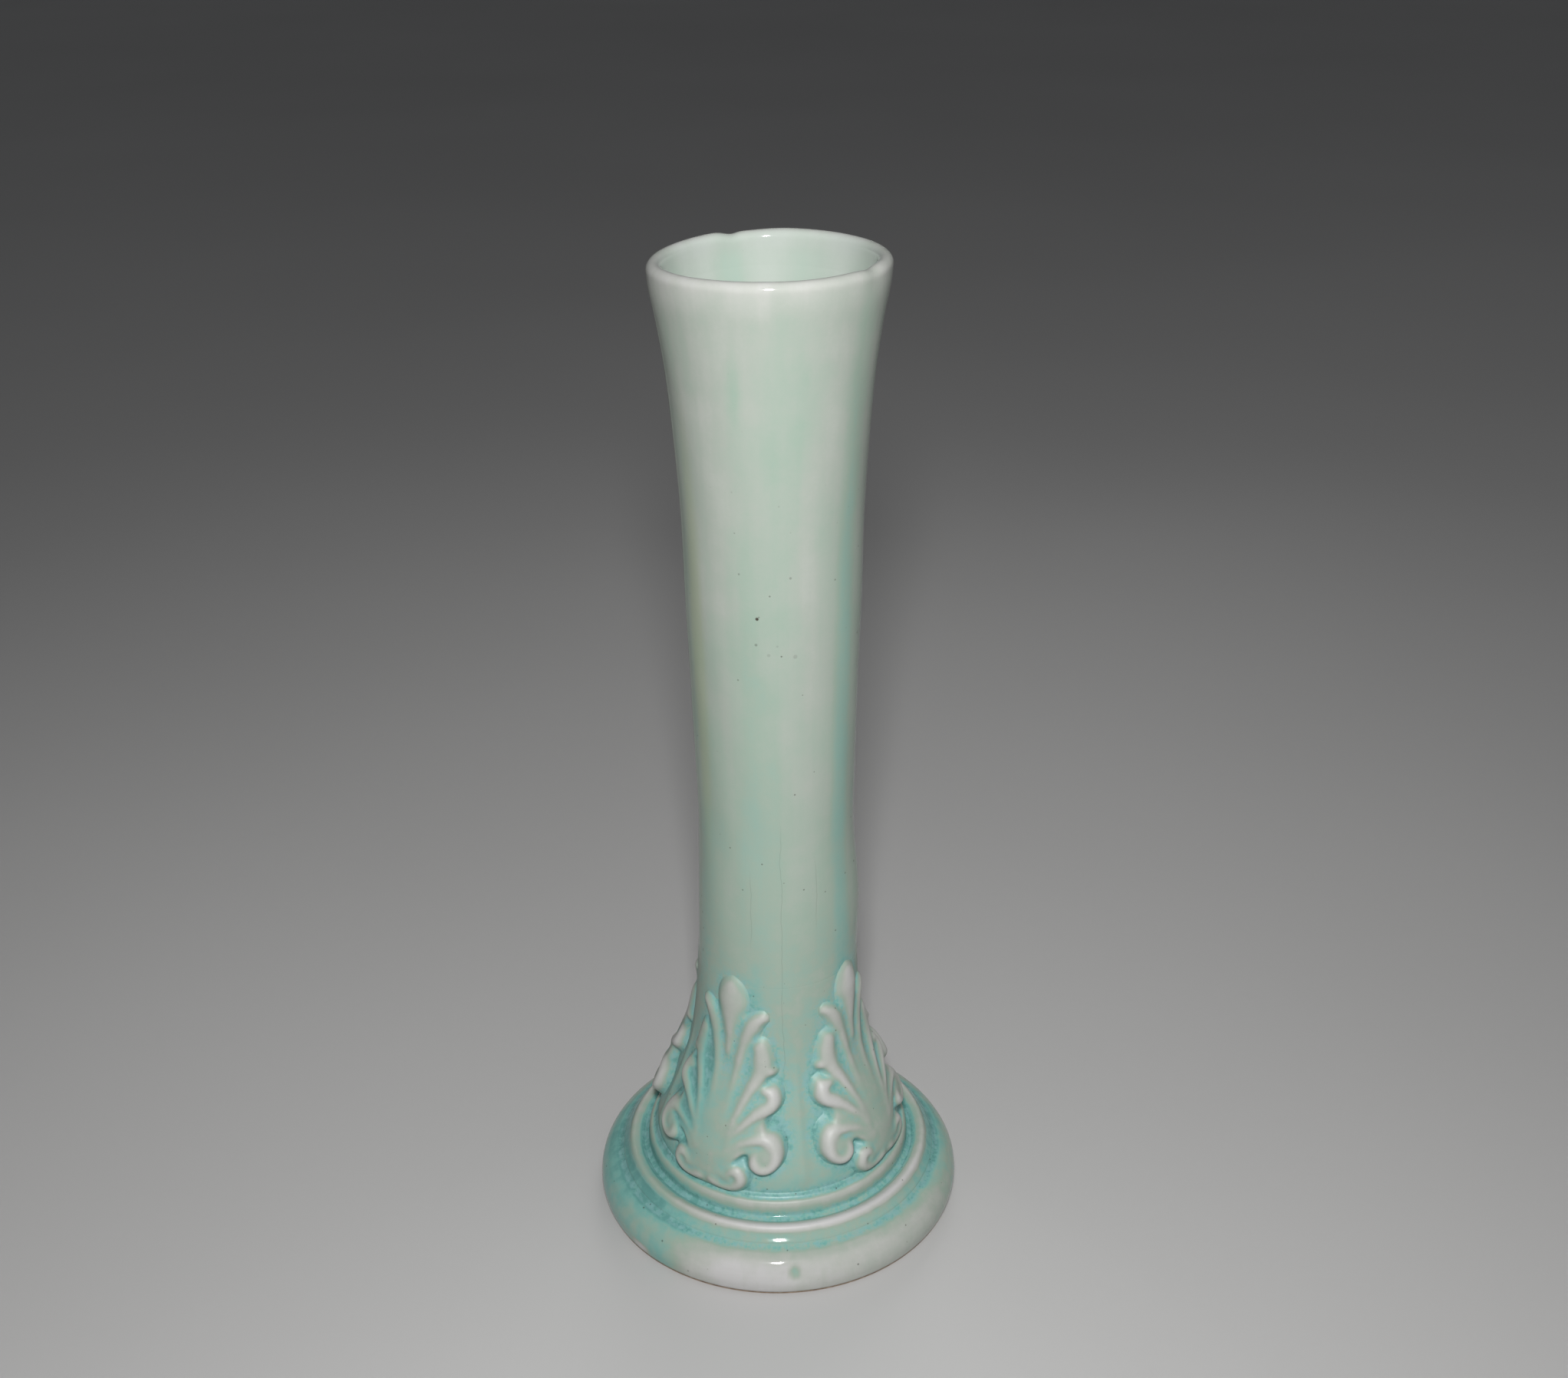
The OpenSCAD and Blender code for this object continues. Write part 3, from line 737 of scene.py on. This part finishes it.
def glaze_depth(shader, pool, height):
    """Depth of the glaze's colour, with its mottle, fine upright runs, grain and clouds; on two
    leaves it also holds painted shade and light.
    """
    own = shader.attribute("depth_and_shading")
    mottle = shader.ranged(shader.noise(110, 4), 0.3, 0.7, -0.04, 0.04)
    runs = shader.ranged(shader.noise(330, 3, (1, 1, 0.05)), 0.3, 0.7, -0.03, 0.03)
    grain = shader.chain("MULTIPLY", shader.ranged(shader.noise(1500, 2), 0.35, 0.65, -0.12, 0.12),
                         shader.ranged(pool, 0.0, 0.5, 0.06, 1.0))
    cloud = shader.chain("MULTIPLY", shader.ranged(shader.noise(420, 3), 0.35, 0.65, -0.07, 0.07),
                         shader.ranged(height, 0.075, 0.045, 0.15, 1.0),
                         shader.ranged(own, 0.15, 0.5, 0.25, 1.0))
    return shader.chain("ADD", own, mottle, runs, grain, cloud)


def dark_marks(shader, height, cracks, spots):
    """Pits, hairline cracks and spots in the glaze, 0 to 1."""
    pits = shader.chain("MAXIMUM", pinholes(shader, 520, 0.11, 0.22),
                        pinholes(shader, 190, 0.05, 0.3))
    pits = shader.chain("MULTIPLY", pits, shader.ranged(height, 0.165, 0.125, 0.1, 1.0), PIT_DARK)
    lines = [shader.math("MULTIPLY", hairline(shader, *crack), CRACK_DARK) for crack in cracks]
    dots = [shader.math("MULTIPLY", spot(shader, turn, up, size), dark)
            for turn, up, size, dark in spots]
    return shader.chain("MAXIMUM", pits, *lines, *dots)


def glaze_material(name, cracks=(), spots=()):
    shader = Shader(name)
    pool = shader.attribute("pool")
    height = shader.add("ShaderNodeSeparateXYZ", {0: shader.place}).outputs[2]
    colour = shader.ramp(glaze_depth(shader, pool, height), GLAZE_COLOURS)
    blue = shader.math("MULTIPLY", shader.ranged(shader.noise(700, 2), 0.42, 0.62, 0.0, 0.6),
                       shader.ranged(pool, 0.05, 0.42))
    warm = shader.ranged(shader.attribute("warm"), 0.0, 1.0, 0.0, 0.6)
    mint = shader.ranged(shader.attribute("mint"), 0.0, 1.0, 0.0, 0.5)
    marks = dark_marks(shader, height, cracks, spots)
    for share, tint in ((blue, POOL_BLUE), (mint, MINT), (warm, WARM), (marks, SPECK)):
        colour = shader.mixed(share, colour, tint)
    shader.set(shader.surface.inputs["Base Color"], colour)
    rough = shader.ranged(shader.attribute("gloss"), 0.0, 1.0, DULL_ROUGHNESS, SHINY_ROUGHNESS)
    shader.set(shader.surface.inputs["Roughness"], rough)
    shader.set(shader.surface.inputs["IOR"], 1.5)
    skin = shader.math("MULTIPLY_ADD", shader.noise(260, 2), 0.5,
                       shader.math("MULTIPLY", shader.noise(1100, 2), 0.12))
    skin = shader.math("SUBTRACT", skin, shader.math("MULTIPLY", marks, 0.5))
    bump = shader.add("ShaderNodeBump", {"Height": skin, "Strength": 0.22, "Distance": 0.0003})
    shader.set(shader.surface.inputs["Normal"], bump.outputs[0])
    return shader.material


def clay_material(name):
    shader = Shader(name)
    colour = shader.ramp(shader.noise(900, 5), [
        (0.3, (0.30, 0.20, 0.13)), (0.55, (0.42, 0.31, 0.22)), (0.75, (0.50, 0.40, 0.31))])
    shader.set(shader.surface.inputs["Base Color"], colour)
    shader.set(shader.surface.inputs["Roughness"], 0.85)
    grit = shader.add("ShaderNodeBump", {"Height": shader.noise(2500, 4), "Strength": 0.5,
                                         "Distance": 0.0002})
    shader.set(shader.surface.inputs["Normal"], grit.outputs[0])
    return shader.material


def floor_material():
    shader = Shader("floor")
    colour = shader.ramp(shader.noise(3, 2), [(0.3, (0.475, 0.47, 0.465)),
                                              (0.7, (0.51, 0.505, 0.50))])
    shader.set(shader.surface.inputs["Base Color"], colour)
    shader.set(shader.surface.inputs["Roughness"], 0.45)
    return shader.material


# ------------------------------------------------------------------ put together
def place(piece, material, slot, *nodes):
    """The piece with its material, riding the vase and shown instead of the CAD's nodes."""
    piece.data.materials.append(material)
    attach(piece, "root")
    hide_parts(*nodes)


def main():
    add_camera()
    add_lights()
    mesh = bpy.data.meshes.new("floor")
    corners = [(x * FLOOR_HALF, y * FLOOR_HALF, 0) for x, y in ((-1, -1), (1, -1), (1, 1), (-1, 1))]
    mesh.from_pydata(corners, [], [(0, 1, 2, 3)])
    mesh.materials.append(floor_material())
    add_object("floor", mesh)
    skin, bead, ring, lining = build_coats()
    place(skin, glaze_material("celadon", CRACKS, SPOTS), "celadon_glaze", "glaze_outside")
    pooled = glaze_material("pooled_celadon")
    place(bead, pooled, "pooled_glaze", "bead_ring")
    place(ring, pooled, "pooled_glaze", "step_ring")
    place(lining, glaze_material("lining_glaze"), "glaze_lining", "glaze_inside")
    place(build_clay(), clay_material("buff_clay"), "clay", "clay_body")
    relief = glaze_material("relief_celadon")
    for node, axis in PALMETTES.items():
        place(build_palmette(node, axis), relief, "relief_glaze", node)
    bpy.context.scene.view_settings.view_transform = "Standard"


main()
